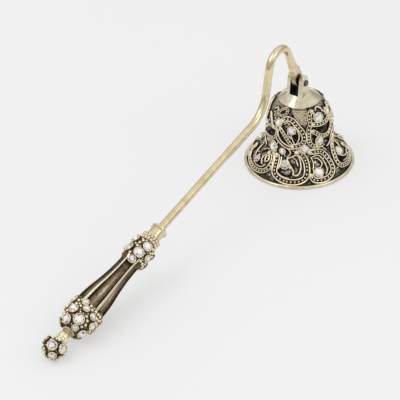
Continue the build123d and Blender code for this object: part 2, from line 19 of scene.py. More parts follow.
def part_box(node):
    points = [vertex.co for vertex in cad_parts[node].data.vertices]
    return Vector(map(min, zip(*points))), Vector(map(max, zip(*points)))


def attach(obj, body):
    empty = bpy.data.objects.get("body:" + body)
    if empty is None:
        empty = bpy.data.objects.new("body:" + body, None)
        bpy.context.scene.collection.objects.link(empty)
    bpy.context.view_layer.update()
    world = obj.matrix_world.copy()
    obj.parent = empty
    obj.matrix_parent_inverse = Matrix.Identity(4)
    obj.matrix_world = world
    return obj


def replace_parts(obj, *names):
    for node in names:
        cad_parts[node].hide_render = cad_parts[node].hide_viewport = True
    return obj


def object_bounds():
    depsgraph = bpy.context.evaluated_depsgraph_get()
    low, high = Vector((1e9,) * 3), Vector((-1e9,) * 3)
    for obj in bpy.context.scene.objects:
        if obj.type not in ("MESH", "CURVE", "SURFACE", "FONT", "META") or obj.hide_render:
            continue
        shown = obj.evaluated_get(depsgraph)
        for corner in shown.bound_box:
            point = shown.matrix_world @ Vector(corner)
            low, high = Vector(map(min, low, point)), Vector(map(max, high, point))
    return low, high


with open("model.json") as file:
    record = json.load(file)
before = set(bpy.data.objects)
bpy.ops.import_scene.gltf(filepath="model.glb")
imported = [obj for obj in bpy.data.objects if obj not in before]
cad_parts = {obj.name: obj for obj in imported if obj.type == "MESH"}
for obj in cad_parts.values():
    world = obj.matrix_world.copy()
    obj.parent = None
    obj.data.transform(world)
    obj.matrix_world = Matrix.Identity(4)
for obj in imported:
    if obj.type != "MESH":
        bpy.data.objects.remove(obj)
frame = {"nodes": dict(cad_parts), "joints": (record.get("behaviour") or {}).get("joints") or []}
cad_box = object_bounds()

MM = 0.001
SEED = 7
NEARLY_ZERO = 1e-12
nodes = frame["nodes"]

# Places read from the frame
wire_low, wire_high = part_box("rim_wire")
bell_axis = Vector(((wire_low.x + wire_high.x) / 2, 0, 0))
pivot = Vector(frame["joints"][0]["pos_m"])
screw_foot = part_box("cap_screw")[0].z
finial_low, finial_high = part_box("finial")
ball_radius = (finial_high.y - finial_low.y) / 2
ball_centre = Vector((finial_low.x + ball_radius, 0, finial_low.z + ball_radius))
flange_low, flange_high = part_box("rod_flange")
handle_axis = ((flange_low + flange_high) / 2 - ball_centre).normalized()
handle_side = Vector((0, -1, 0))
handle_top = handle_axis.cross(handle_side).normalized()
if handle_top.z < 0:
    handle_top = -handle_top

# Heading of the bell's front, which faces the camera
FRONT = math.radians(218)


# Materials

def set_inputs(node, values):
    """Set inputs of a shader node by their names."""
    for name, value in values.items():
        node.inputs[name].default_value = value


def tree_of(name, values):
    """A new material, its node tree and its Principled shader with these inputs."""
    material = bpy.data.materials.new(name)
    material.use_nodes = True
    tree = material.node_tree
    shader = tree.nodes["Principled BSDF"]
    set_inputs(shader, values)
    return material, tree, shader


def link(tree, source, output, target, name):
    """Join an output of one node to an input of another."""
    tree.links.new(source.outputs[output], target.inputs[name])


def noise(tree, scale, detail, distortion=0.0):
    """A noise texture on object coordinates, so it doesn't slide with the view."""
    where = tree.nodes.new("ShaderNodeTexCoord")
    texture = tree.nodes.new("ShaderNodeTexNoise")
    set_inputs(texture, {"Scale": scale, "Detail": detail, "Distortion": distortion})
    link(tree, where, "Object", texture, "Vector")
    return texture


def split_place(tree, space):
    """A node that splits the place in a coordinate space into X, Y and Z."""
    where = tree.nodes.new("ShaderNodeTexCoord")
    parts = tree.nodes.new("ShaderNodeSeparateXYZ")
    link(tree, where, space, parts, "Vector")
    return parts


def attribute(tree, name):
    """A node that reads a value or a colour that the mesh carries."""
    node = tree.nodes.new("ShaderNodeAttribute")
    node.attribute_name = name
    return node


def arithmetic(tree, operation, second):
    """A math node with its second input set."""
    node = tree.nodes.new("ShaderNodeMath")
    node.operation = operation
    node.inputs[1].default_value = second
    return node


def ramp(tree, source, output, stops):
    """A colour ramp over a grey value, from a list of (place, colour)."""
    node = tree.nodes.new("ShaderNodeValToRGB")
    elements = node.color_ramp.elements
    while len(elements) < len(stops):
        elements.new(0.5)
    for element, (place, colour) in zip(elements, stops):
        element.position = place
        element.color = (*colour, 1)
    link(tree, source, output, node, "Fac")
    return node


def colour_by(tree, shader, source, output, stops):
    """The shader's colour from a grey value, by a list of (place, colour)."""
    link(tree, ramp(tree, source, output, stops), "Color", shader, "Base Color")


def rough_by(tree, shader, source, output, stops):
    """The shader's roughness from a grey value, by a list of (place, roughness)."""
    greys = [(place, (roughness,) * 3) for place, roughness in stops]
    link(tree, ramp(tree, source, output, greys), "Color", shader, "Roughness")


def bump(tree, shader, source, output, strength, depth_mm):
    """Fine relief on the shader from a grey value."""
    node = tree.nodes.new("ShaderNodeBump")
    set_inputs(node, {"Strength": strength, "Distance": depth_mm * MM})
    link(tree, source, output, node, "Height")
    link(tree, node, "Normal", shader, "Normal")


CLOUD_SCALE = 220.0
RUB_SCALE = 1100.0


def polished_metal(name, light, dark, roughness):
    """Polished pale metal with faint clouding and fine handling marks."""
    material, tree, shader = tree_of(name, {"Metallic": 1.0})
    clouds = noise(tree, CLOUD_SCALE, detail=5.0, distortion=0.6)
    colour_by(tree, shader, clouds, "Fac", [(0.35, dark), (0.62, light)])
    rub = noise(tree, RUB_SCALE, detail=3.0)
    rough_by(tree, shader, rub, "Fac", [(0.3, roughness * 0.8), (0.7, roughness * 1.25)])
    bump(tree, shader, rub, "Fac", strength=0.12, depth_mm=0.04)
    return material


HOLLOW_ROUGHNESS = 0.62


def antique_metal(name, bright, middle, dark, roughness, low=0.25, high=0.75, grain=900.0, stained=0.3):
    """Antiqued gold: a vertex value runs from dark hollows at 0 to rubbed bright metal at 1, and also
    carries painted shade on the bell's wall and a painted highlight in the grip's flutes.
    """
    material, tree, shader = tree_of(name, {"Metallic": 1.0})
    wear_and_painted_light = attribute(tree, "wear_and_painted_light")
    stain = noise(tree, grain, detail=4.0, distortion=0.4)
    mixed = arithmetic(tree, "MULTIPLY_ADD", stained)
    link(tree, stain, "Fac", mixed, 0)
    link(tree, wear_and_painted_light, "Fac", mixed, 2)
    shifted = arithmetic(tree, "SUBTRACT", stained / 2)
    link(tree, mixed, "Value", shifted, 0)
    colour_by(tree, shader, shifted, "Value", [(low, dark), ((low + high) / 2, middle), (high, bright)])
    rough_by(tree, shader, shifted, "Value", [(low, HOLLOW_ROUGHNESS), (high, roughness)])
    bump(tree, shader, stain, "Fac", strength=0.25, depth_mm=0.05)
    return material


PATINA_SCALE = 500.0


def patina_and_shade_metal(name, light, dark, roughness):
    """Dark lacquered recess with a soft uneven stain, also used for painted shade in the cap's slot."""
    material, tree, shader = tree_of(name, {"Metallic": 0.75})
    stain = noise(tree, PATINA_SCALE, detail=5.0, distortion=0.8)
    colour_by(tree, shader, stain, "Fac", [(0.36, dark), (0.66, light)])
    rough_by(tree, shader, stain, "Fac", [(0.3, roughness * 1.2), (0.7, roughness * 0.8)])
    bump(tree, shader, stain, "Fac", strength=0.35, depth_mm=0.12)
    return material


SHADE_FADE_MM = 1.0


def painted_shade_metal(name, height, low, high, roughness):
    """Polished metal with painted shade below a height."""
    material, tree, shader = tree_of(name, {"Metallic": 1.0, "Roughness": roughness})
    share = tree.nodes.new("ShaderNodeMapRange")
    fade = SHADE_FADE_MM * MM
    set_inputs(share, {"From Min": height - fade, "From Max": height + fade})
    link(tree, split_place(tree, "Object"), "Z", share, "Value")
    colour_by(tree, shader, share, "Result", [(0.0, low), (1.0, high)])
    return material


def crystal_glass(name):
    """Foiled crystal: every facet has a painted reflection, from white through greys to near black with a
    few faintly coloured, under a clear glossy surface.
    """
    material, tree, shader = tree_of(name, {
        "Metallic": 0.0,
        "Roughness": 0.05,
        "IOR": 1.6,
        "Coat Weight": 0.6,
        "Coat Roughness": 0.03,
    })
    # Each facet's painted reflection is its colour attribute
    link(tree, attribute(tree, "facet"), "Color", shader, "Base Color")
    return material


TANG_SHADE_MM = 1.2

rod_metal = polished_metal("rod_metal", light=(0.80, 0.70, 0.46), dark=(0.66, 0.55, 0.33), roughness=0.2)
cap_metal = polished_metal("cap_metal", light=(0.77, 0.70, 0.54), dark=(0.62, 0.54, 0.39), roughness=0.2)
pin_metal = polished_metal("pin_metal", light=(0.16, 0.12, 0.09), dark=(0.08, 0.06, 0.045), roughness=0.4)
gold = antique_metal(
    "scroll_gold_metal",
    bright=(0.90, 0.80, 0.58),
    middle=(0.50, 0.38, 0.22),
    dark=(0.035, 0.026, 0.022),
    roughness=0.24,
)
grip_metal = antique_metal(
    "grip_gold_metal",
    bright=(0.93, 0.82, 0.58),
    middle=(0.34, 0.26, 0.155),
    dark=(0.022, 0.017, 0.015),
    roughness=0.22,
)
recess = patina_and_shade_metal("recess_metal", light=(0.17, 0.145, 0.125), dark=(0.035, 0.028, 0.025), roughness=0.42)
# The bell's wall skin: a random stain, and painted shade beside the raised work from its vertex values
wall_metal = antique_metal(
    "wall_metal",
    bright=(0.40, 0.345, 0.285),
    middle=(0.13, 0.11, 0.092),
    dark=(0.014, 0.011, 0.010),
    roughness=0.36,
    low=0.05,
    high=1.0,
    grain=560.0,
    stained=2.3,
)
# Painted shade on the inner sides of the cap's ears and on the floor between them
slot_painted_shade_metal = patina_and_shade_metal(
    "slot_painted_shade",
    light=(0.035, 0.028, 0.024),
    dark=(0.012, 0.009, 0.008),
    roughness=0.5,
)
# Painted shade on the tang's flat sides, low down in the slot between the cap's ears
tang_painted_shade_metal = painted_shade_metal(
    "tang_painted_shade_metal",
    height=pivot.z + TANG_SHADE_MM * MM,
    low=(0.03, 0.024, 0.02),
    high=(0.62, 0.53, 0.36),
    roughness=0.25,
)
crystal = crystal_glass("crystal_glass")


# Finishes of the CAD nodes

def give(node, material):
    """Every material slot of a CAD node takes this material."""
    data = nodes[node].data
    if not data.materials:
        data.materials.append(material)
    for index in range(len(data.materials)):
        data.materials[index] = material


def paint_shade_on_faces(node, material, chosen):
    """The faces of a CAD node that the rule chosen(normal, centre) picks take another material, here one
    with painted shade.
    """
    data = nodes[node].data
    data.materials.append(material)
    for polygon in data.polygons:
        if chosen(polygon.normal, polygon.center):
            polygon.material_index = len(data.materials) - 1


TANG_HALF_MM = 1.2
SLOT_HALF_MM = 2.2
ON_FACE_MM = 0.05
FLAT = 0.95


def on_tang_side(normal, centre):
    """Whether a face of the rod is on one of the tang's two flat sides."""
    return abs(normal.y) > FLAT and abs(abs(centre.y) - TANG_HALF_MM * MM) < ON_FACE_MM * MM


def on_slot_wall(normal, centre):
    """Whether a face of the cap is on an ear's inner side."""
    return abs(normal.y) > FLAT and abs(centre.y) < (SLOT_HALF_MM + ON_FACE_MM) * MM


def on_slot_floor(normal, centre):
    """Whether a face of the cap is on the floor between the ears."""
    return normal.z > FLAT and abs(centre.y) < SLOT_HALF_MM * MM and centre.z > screw_foot


for name in ("rod", "rod_flange", "collar_sleeve"):
    give(name, rod_metal)
for name in ("hanger_cap", "cap_washer", "cap_screw", "rim_wire"):
    give(name, cap_metal)
give("pivot_pin", pin_metal)
give("bell_shell", recess)
# Painted shade on the tang's flat sides and inside the cap's slot
paint_shade_on_faces("rod", tang_painted_shade_metal, on_tang_side)
paint_shade_on_faces("hanger_cap", slot_painted_shade_metal, on_slot_wall)
paint_shade_on_faces("hanger_cap", slot_painted_shade_metal, on_slot_floor)
for name in ("skirt_scrolls", "crown_scrolls", "bell_cups", "bulb_cups", "barrel_cups", "finial_cups"):
    give(name, gold)
for name in nodes:
    if name.endswith("crystals"):
        give(name, crystal)


# Meshes

def square_to(direction):
    """Two directions square to each other and to a given one."""
    side = direction.orthogonal().normalized()
    return side, direction.cross(side)


def ring(centre, side, other, radius, count, offset=0):
    """Points evenly round a circle, from its middle and two directions in its plane."""
    angles = (2 * math.pi * (step + offset) / count for step in range(count))
    return [centre + (side * math.cos(angle) + other * math.sin(angle)) * radius for angle in angles]


def add_object(name, data):
    """A new object in the scene for a mesh, a lamp or a camera."""
    added = bpy.data.objects.new(name, data)
    bpy.context.scene.collection.objects.link(added)
    return added


def add_piece(name, mesh, material, body):
    """A mesh becomes a piece that rides on a body and takes a material."""
    mesh.materials.append(material)
    piece = add_object(name, mesh)
    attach(piece, body)
    return piece


BEAD_SIDES = 8
SMALL_BEAD_SIDES = 6
BEAD_RING_DEGREES = (-35, 5, 40, 68, 86)
BEAD_FOOT_WEAR = 0.35
BEAD_WEAR_RISE = 0.8


class Heap:
    """Points, faces and brightness values, for rubbing and for painted light, piled up into one mesh."""

    def __init__(self):
        self.points, self.faces, self.wear_and_painted_light = [], [], []

    def grid(self, rows, wear_and_painted_light_rows, end_caps=True):
        """Closed rings of points joined one after another into a skin."""
        start, count = len(self.points), len(rows[0])
        for row in range(len(rows) - 1):
            low = start + row * count
            high = low + count
            for index in range(count):
                after = (index + 1) % count
                self.faces.append([low + index, low + after, high + after, high + index])
        if end_caps:
            last = start + (len(rows) - 1) * count
            self.faces.append([start + index for index in reversed(range(count))])
            self.faces.append([last + index for index in range(count)])
        self.points += [point for row in rows for point in row]
        self.wear_and_painted_light += [value for row in wear_and_painted_light_rows for value in row]

    def bead(self, place, normal, radius, wear_and_painted_light=1.0, sides=BEAD_SIDES):
        """A round grain sunk a little in what carries it."""
        side, other = square_to(normal)
        rows, wear_and_painted_light_rows = [], []
        for latitude in map(math.radians, BEAD_RING_DEGREES):
            centre = place + normal * (radius * math.sin(latitude))
            rows.append(ring(centre, side, other, radius * math.cos(latitude), sides))
            shade = BEAD_FOOT_WEAR + BEAD_WEAR_RISE * max(0, math.sin(latitude))
            wear_and_painted_light_rows.append([wear_and_painted_light * min(1, shade)] * sides)
        self.grid(rows, wear_and_painted_light_rows)

    def build(self, name, material, body, slot):
        """The heap as one smooth piece."""
        mesh = bpy.data.meshes.new(name)
        mesh.from_pydata([tuple(point) for point in self.points], [], self.faces)
        mesh.attributes.new("wear_and_painted_light", "FLOAT", "POINT").data.foreach_set("value", self.wear_and_painted_light)
        tidy = bmesh.new()
        tidy.from_mesh(mesh)
        bmesh.ops.recalc_face_normals(tidy, faces=tidy.faces)
        tidy.to_mesh(mesh)
        tidy.free()
        mesh.polygons.foreach_set("use_smooth", [True] * len(mesh.polygons))
        return add_piece(name, mesh, material, body)


def between(t, a, b, c, d):
    """Catmull-Rom value a share t of the way from b to c, with a before them and d after."""
    square, cube = 2 * a - 5 * b + 4 * c - d, 3 * b - a - 3 * c + d
    return 0.5 * (2 * b + (c - a) * t + square * t * t + cube * t ** 3)


def smooth_line(points, step):
    """Catmull-Rom samples through given points, about one step apart by their own measure."""
    samples = []
    last = len(points) - 1
    for index in range(last):
        before = points[max(index - 1, 0)]
        start, end = points[index], points[index + 1]
        after = points[min(index + 2, last)]
        pieces = max(2, round(math.dist(start, end) / step))
        for piece in range(pieces):
            t = piece / pieces
            samples.append(tuple(between(t, *values) for values in zip(before, start, end, after)))
    samples.append(tuple(points[-1]))
    return samples


# The bell's wall

PROFILE_DECIMALS = 5


def bell_profile():
    """The bell's outer wall as (radius, height) points from the rim up, read from the CAD shell."""
    found = set()
    for vertex in nodes["bell_shell"].data.vertices:
        radius = math.hypot(vertex.co.x - bell_axis.x, vertex.co.y)
        found.add((round(radius, PROFILE_DECIMALS), round(vertex.co.z, PROFILE_DECIMALS)))
    outer = [
        place for place in found
        if not any(other[0] >= place[0] and other[1] >= place[1] and other != place for other in found)
    ]
    return sorted(outer + [(max(found)[0], 0.0)], key=lambda place: place[1])


profile = bell_profile()


def wall_at(height):
    """(radius, outward normal as radial and upward parts) of the bell's wall at a height."""
    for (radius_a, height_a), (radius_b, height_b) in zip(profile, profile[1:]):
        if height <= height_b or height_b == profile[-1][1]:
            share = (height - height_a) / max(height_b - height_a, NEARLY_ZERO)
            radius = radius_a + (radius_b - radius_a) * share
            run, climb = radius_a - radius_b, height_b - height_a
            size = math.hypot(run, climb)
            return radius, climb / size, run / size


def on_wall(azimuth, height, lift):
    """(point, normal) on the bell at degrees from the front and a height, lifted off its wall."""
    radius, radial, upward = wall_at(height)
    heading = FRONT + math.radians(azimuth)
    out = Vector((math.cos(heading), math.sin(heading), 0))
    normal = out * radial + Vector((0, 0, upward))
    return bell_axis + out * radius + Vector((0, 0, height)) + normal * lift, normal


def lifted(point, lift):
    """A point near the bell's wall moved onto it and then lifted off by a height."""
    reach = math.hypot(point.x - bell_axis.x, point.y)
    best = None
    for (radius_a, height_a), (radius_b, height_b) in zip(profile, profile[1:]):
        run, climb = radius_b - radius_a, height_b - height_a
        length = math.hypot(run, climb)
        share = ((reach - radius_a) * run + (point.z - height_a) * climb) / max(length ** 2, NEARLY_ZERO)
        share = min(1, max(0, share))
        radius, height = radius_a + run * share, height_a + climb * share
        away = math.hypot(reach - radius, point.z - height)
        if best is None or away < best[0]:
            best = (away, radius, height, climb / length, -run / length)
    _, radius, height, radial, upward = best
    out = Vector((point.x - bell_axis.x, point.y, 0)).normalized()
    return bell_axis + out * (radius + radial * lift) + Vector((0, 0, height + upward * lift))


ARC_MM_PER_DEGREE = 0.32
LINE_STEP_MM = 0.35


def wall_line(points, turn):
    """Points, normals and sideways directions along a line on the bell given in degrees and mm."""
    spread = [(azimuth * ARC_MM_PER_DEGREE, height) for azimuth, height in points]
    places, normals = [], []
    for across, height in smooth_line(spread, LINE_STEP_MM):
        place, normal = on_wall(across / ARC_MM_PER_DEGREE + turn, height * MM, 0)
        places.append(place)
        normals.append(normal)
    sides = []
    for index, normal in enumerate(normals):
        ahead = places[min(index + 1, len(places) - 1)] - places[max(index - 1, 0)]
        sides.append(normal.cross(ahead).normalized())
    return places, normals, sides


# Scrollwork of the bell

# Half a cross-section from the edge to the middle: share of the half width, inset, lift and wear
BAND_SECTION = (
    (-1, 0, -0.2, 0.05),
    (-1, 0, 0.45, 0.3),
    (-1, 0.1, 0.82, 0.95),
    (-1, 0.46, 0.84, 1.0),
    (-1, 0.64, 0.45, 0.25),
    (0, 0, 0.34, 0.22),
)
CORD_SECTION = (
    (-1, 0, -0.2, 0.05),
    (-1, 0.02, 0.35, 0.25),
    (-0.6, 0, 0.68, 0.9),
    (0, 0, 0.8, 1.0),
)
WIDEST_BAND_MM = 2.9
RAIL_MM = 0.66
BEAD_RADIUS_MM = 0.54
BEAD_PITCH = 2.6
BEAD_LIFT_MM = 0.38
END_LIFT_MM = 0.3
END_WIDTH_SHARE = 0.42


def section_of(width_mm, shape):
    """A cross-section mirrored about its middle: (across, lift, wear) rows in millimetres."""
    finer = min(1, width_mm / WIDEST_BAND_MM)
    half = [(share * width_mm / 2 + inset * finer, lift, wear_and_painted_light) for share, inset, lift, wear_and_painted_light in shape]
    return half + [(-across, lift, wear_and_painted_light) for across, lift, wear_and_painted_light in half[-2::-1]]


# (place, half width) of everything drawn on the wall, which gets painted shade on the wall beside it
traced = []


def raised_line(heap, points, width_mm, turn, shape):
    """A raised line of one cross-section with round ends, and the places and normals along it."""
    places, normals, sides = wall_line(points, turn)
    traced.extend((place, width_mm / 2 * MM) for place in places)
    section = section_of(width_mm, shape)
    rows = [
        [lifted(place + side * across * MM, lift * MM) for across, lift, _ in section]
        for place, side in zip(places, sides)
    ]
    heap.grid(rows, [[wear_and_painted_light for _, _, wear_and_painted_light in section]] * len(rows))
    for end in (0, -1):
        heap.bead(lifted(places[end], END_LIFT_MM * MM), normals[end], width_mm * END_WIDTH_SHARE * MM)
    return places, normals


def band(heap, points, width_mm, turn):
    """A raised band with two rails, and beads in the channel between them."""
    places, normals = raised_line(heap, points, width_mm, turn, BAND_SECTION)
    radius = min(BEAD_RADIUS_MM, width_mm / 2 - RAIL_MM * width_mm / WIDEST_BAND_MM) * MM
    since = radius
    for index in range(1, len(places)):
        since += (places[index] - places[index - 1]).length
        if since > BEAD_PITCH * radius:
            since = 0
            heap.bead(lifted(places[index], BEAD_LIFT_MM * MM), normals[index], radius)


# Lines of the bell's front half, which the back half repeats: width in millimetres, and points as
# degrees from the front and millimetres up
WIDE_BANDS = (
    (2.9, (
        (-42, 10.8), (-38, 9.0), (-36, 7.0), (-34, 5.0), (-28, 3.5), (-18, 2.7), (-7, 2.8),
        (1, 3.9), (5, 6.0), (6, 8.4), (4, 10.6), (-1, 12.6), (-9, 13.6),
    )),
    (2.6, (
        (12, 13.4), (22, 13.1), (31, 12.7), (37, 11.2), (40, 9.2), (40, 6.6), (37, 4.2), (30, 2.8),
        (21, 2.5), (13, 3.2), (10, 5.2),
    )),
    (2.2, (
        (-93, 8.0), (-90, 5.4), (-84, 3.6), (-74, 2.8), (-63, 2.7), (-53, 3.4), (-46, 5.0),
        (-43, 7.0), (-44, 9.0), (-50, 10.5), (-57, 10.0),
    )),
    (2.2, (
        (72, 15.5), (66, 13.2), (60, 11.0), (54, 8.8), (50, 6.6), (53, 4.8), (61, 3.6), (72, 3.0),
        (84, 3.0), (94, 4.2),
    )),
    (2.4, (
        (-38, 27.4), (-33, 28.4), (-25, 28.9), (-16, 28.2), (-9, 26.4), (-2, 24.6), (3, 22.6),
        (4, 20.2), (1, 18.2), (-7, 16.9), (-16, 16.4),
    )),
    (2.0, (
        (25, 31.4), (18, 31.0), (15, 29.2), (16, 26.8), (12, 24.4), (12, 21.0), (13, 18.4),
        (18, 16.6), (26, 15.6),
    )),
    (2.0, ((20, 26.4), (30, 25.9), (42, 25.6), (55, 25.9), (64, 27.2), (70, 28.8))),
    (2.0, (
        (18, 23.6), (25, 22.4), (33, 20.6), (43, 19.6), (53, 19.6), (61, 21.0), (66, 23.6),
        (67, 26.4),
    )),
    (1.7, ((-40, 24.2), (-34, 22.6), (-27, 20.4), (-21, 18.2), (-16, 16.6))),
    (1.4, ((-88, 20.0), (-76, 21.6), (-64, 23.2), (-52, 23.4), (-44, 22.6))),
    (1.4, ((-80, 17.0), (-68, 17.2), (-56, 17.8), (-48, 19.4), (-46, 21.6))),
    (1.7, (
        (70, 29.8), (76, 31.0), (84, 30.0), (90, 27.4), (91, 24.4), (87, 22.2), (80, 21.6),
        (76, 23.6), (78, 25.8), (83, 26.0),
    )),
    (1.1, ((-53, 29.4), (-48, 31.0), (-40, 31.9), (-32, 31.7), (-32, 30.6), (-40, 29.6), (-53, 29.4))),
    (1.4, ((-70, 15.2), (-62, 15.6), (-54, 16.4), (-48, 15.6), (-44, 14.4))),
)
CORDS = (
    (1.6, ((-75, 27.8), (-67, 26.0), (-61, 24.4), (-56, 22.8))),
    (0.8, ((-45, 22.4), (-42, 19.8), (-36, 18.0), (-28, 16.9), (-20, 16.2))),
    (0.7, ((-48, 18.6), (-42, 17.4), (-33, 16.0), (-24, 15.2), (-14, 15.2))),
    (0.8, (
        (-24, 15.0), (-20, 14.2), (-19, 12.8), (-22, 11.4), (-23, 10.4), (-19, 8.9), (-15, 7.9),
        (-12, 6.9), (-11, 5.8),
    )),
    (0.8, (
        (-23, 10.4), (-17, 11.1), (-11, 12.1), (-6, 11.8), (-3, 10.0), (-2, 8.0), (-4, 6.2),
        (-8, 5.3), (-12, 5.8),
    )),
    (0.7, ((-50, 9.9), (-57, 9.6), (-61, 8.2), (-60, 6.9), (-56, 6.0))),
    (0.8, ((-53, 9.4), (-57, 8.6), (-54, 7.2), (-50, 7.9), (-53, 9.4))),
    (0.7, ((-49, 11.2), (-45, 9.6), (-41, 7.4), (-40, 5.6))),
    (0.8, ((-33, 10.6), (-31, 8.8), (-31, 6.8))),
    (0.7, ((14, 11.0), (16, 9.0), (14, 7.2), (13, 5.0))),
    (0.7, ((16, 10.9), (24, 11.3), (30, 10.2), (32, 8.0), (31, 5.6), (28, 4.4))),
    (0.7, ((60, 8.2), (66, 6.6), (75, 5.8), (84, 6.2))),
    (0.8, ((-6, 15.6), (-3, 13.9), (4, 13.3), (9, 14.2), (10, 16.2))),
    (0.7, ((24, 18.4), (26, 16.4), (34, 15.9), (39, 17.4))),
    (0.8, ((28, 30.8), (25, 29.4), (27, 27.6), (34, 26.8), (44, 26.9))),
    (0.7, ((-8, 24.6), (-5, 22.6), (-5, 20.4), (-8, 18.4), (-11, 17.4))),
    (0.7, ((-19, 21.8), (-16, 19.8), (-12, 17.6))),
    (0.7, ((-33, 26.2), (-28, 27.2), (-22, 26.6))),
    (0.8, ((-38, 27.4), (-42, 26.0), (-42, 24.2))),
    (0.8, ((48, 13.6), (56, 14.4), (62, 16.8), (70, 18.8), (82, 19.6))),
    (0.7, ((-86, 14.6), (-78, 12.8), (-72, 12.0))),
    (0.7, ((-66, 30.6), (-60, 31.4), (-54, 30.8))),
    (0.6, ((-26, 24.6), (-20, 25.4), (-14, 24.6), (-11, 22.8))),
    (0.6, ((-25, 23.6), (-24, 21.8), (-19, 20.4))),
    (0.7, ((-14, 11.0), (-9, 10.2), (-6, 8.4))),
    (0.6, ((-30, 5.4), (-24, 4.4), (-16, 4.0))),
    (0.7, ((15, 6.0), (18, 4.4), (24, 3.9))),
    (0.7, ((19, 10.4), (25, 9.9), (28, 8.2), (24, 7.2))),
    (0.7, ((-72, 4.8), (-64, 4.4), (-55, 5.0), (-51, 6.4))),
    (0.7, ((-82, 10.2), (-79, 7.6), (-74, 6.2))),
    (0.7, ((-70, 9.6), (-66, 10.8), (-60, 11.2))),
    (0.7, ((-58, 14.0), (-52, 11.9), (-45, 12.0))),
    (0.7, ((-35, 14.6), (-30, 13.4), (-29, 11.8))),
    (0.7, ((10, 15.0), (16, 14.6), (22, 15.0))),
    (0.7, ((27, 14.4), (34, 14.9), (40, 13.4), (45, 11.6))),
    (0.7, ((30, 17.2), (34, 18.6), (40, 18.4))),
    (0.7, ((58, 12.2), (64, 14.6), (72, 16.6))),
    (0.7, ((64, 10.4), (66, 12.0), (73, 12.6), (79, 11.0), (78, 8.6))),
    (0.7, ((62, 5.2), (72, 4.6), (82, 5.0))),
    (0.7, ((33, 31.4), (40, 32.0), (48, 31.4), (54, 29.4))),
    (0.7, ((58, 30.8), (64, 29.6), (70, 29.8))),
    (0.7, ((72, 16.0), (80, 15.2), (88, 16.4), (92, 18.4))),
)
# Outlines of the dark pockets between the lines
POCKETS = (
    ((-45, 30.4), (-40, 31.1), (-36, 31.0), (-39, 30.3)),
    ((-43, 22.0), (-38, 22.6), (-30, 20.4), (-24, 18.0), (-30, 17.4), (-38, 18.6)),
    ((-76, 18.6), (-66, 21.6), (-54, 22.4), (-50, 20.8), (-56, 18.8), (-66, 18.2)),
    ((-17, 21.8), (-7, 22.2), (-7, 20.2), (-11, 18.2), (-15, 19.6)),
    ((29, 24.0), (40, 24.4), (54, 24.6), (60, 24.0), (56, 21.4), (44, 21.2), (35, 22.0)),
    ((19, 21.4), (22, 22.2), (28, 20.8), (26, 19.0), (20, 18.8)),
    ((44, 17.6), (54, 18.0), (58, 15.6), (50, 11.6), (43, 13.6)),
    ((-74, 10.8), (-68, 12.0), (-62, 10.0), (-68, 8.6), (-74, 9.2)),
    ((-26, 14.2), (-22, 14.4), (-22, 12.6), (-26, 12.4)),
    ((-28, 6.0), (-20, 5.6), (-13, 5.6), (-14, 4.6), (-24, 4.8)),
    ((54, 8.0), (60, 9.8), (68, 8.2), (76, 4.8), (64, 4.8), (56, 5.6)),
    ((-72, 6.2), (-64, 6.8), (-55, 5.4), (-64, 4.2), (-74, 4.4)),
    ((24, 10.0), (30, 9.0), (30, 6.6), (26, 7.6)),
)
# Single grains: degrees from the front, millimetres up and radius in millimetres
GRAINS = (
    (-58, 30.2, 0.4), (-64, 29.4, 0.4), (-46, 26.6, 0.4), (-48, 24.9, 0.35), (-22, 22.6, 0.35),
    (-27, 25.4, 0.35), (-2, 11.4, 0.35), (-8, 9.2, 0.4), (-11, 9.6, 0.35), (-20, 6.6, 0.35),
    (-66, 5.4, 0.4), (-58, 6.8, 0.35), (34, 9.4, 0.4), (34, 7.8, 0.4), (33, 6.2, 0.4),
    (21, 4.8, 0.4), (25, 5.0, 0.4), (46, 16.4, 0.4), (60, 19.0, 0.45), (-62, 28.0, 0.5),
    (-57, 27.0, 0.5), (-49, 28.0, 0.5), (-45, 29.2, 0.55), (-30, 27.9, 0.45), (-24, 26.0, 0.4),
    (-16, 7.7, 0.75), (19, 9.0, 0.8), (17, 7.4, 0.4), (23, 8.0, 0.4), (-8, 13.6, 0.5),
    (-53, 8.3, 0.35), (-37, 12.0, 0.5), (-31, 12.2, 0.5), (-28, 11.2, 0.45), (-70, 7.6, 0.6),
    (-64, 8.0, 0.4), (-76, 8.0, 0.5), (62, 8.4, 0.55), (57, 9.0, 0.45), (70, 8.0, 0.45),
    (12, 15.4, 0.5), (-14, 14.2, 0.45), (-9, 14.9, 0.45), (10, 11.6, 0.45), (12, 9.6, 0.4),
    (47, 4.6, 0.5), (-40, 3.6, 0.5), (42, 14.8, 0.45), (38, 14.6, 0.45), (22, 28.8, 0.4),
    (56, 28.2, 0.45), (48, 27.6, 0.4), (50, 30.4, 0.45), (70, 25.6, 0.4), (76, 22.0, 0.4),
    (-90, 26.4, 0.5), (-74, 24.2, 0.45), (-60, 13.0, 0.4), (-46, 13.2, 0.4), (-84, 10.6, 0.5),
    (80, 16.6, 0.45), (74, 11.8, 0.5), (82, 9.4, 0.45), (-44, 16.2, 0.45), (-58, 25.6, 0.45),
    (8, 27.4, 0.3), (6, 26.6, 0.3),
)

GRAIN_LIFT_MM = 0.1

# Stippled wedge under the cap: rows of fine grains that widen upwards, in degrees from the front
STIPPLE_ROWS = 11
STIPPLE_FOOT_MM = 27.0
STIPPLE_ROW_MM = 0.47
STIPPLE_LEFT = -3
STIPPLE_LEFT_STEP = 1.7
STIPPLE_RIGHT = 9
STIPPLE_RIGHT_STEP = 0.35
STIPPLE_PITCH = 2.6
STIPPLE_JITTER = 0.6
STIPPLE_JITTER_MM = 0.1
STIPPLE_LIFT_MM = 0.05
STIPPLE_RADIUS_MM = 0.31
STIPPLE_WEAR = 0.9


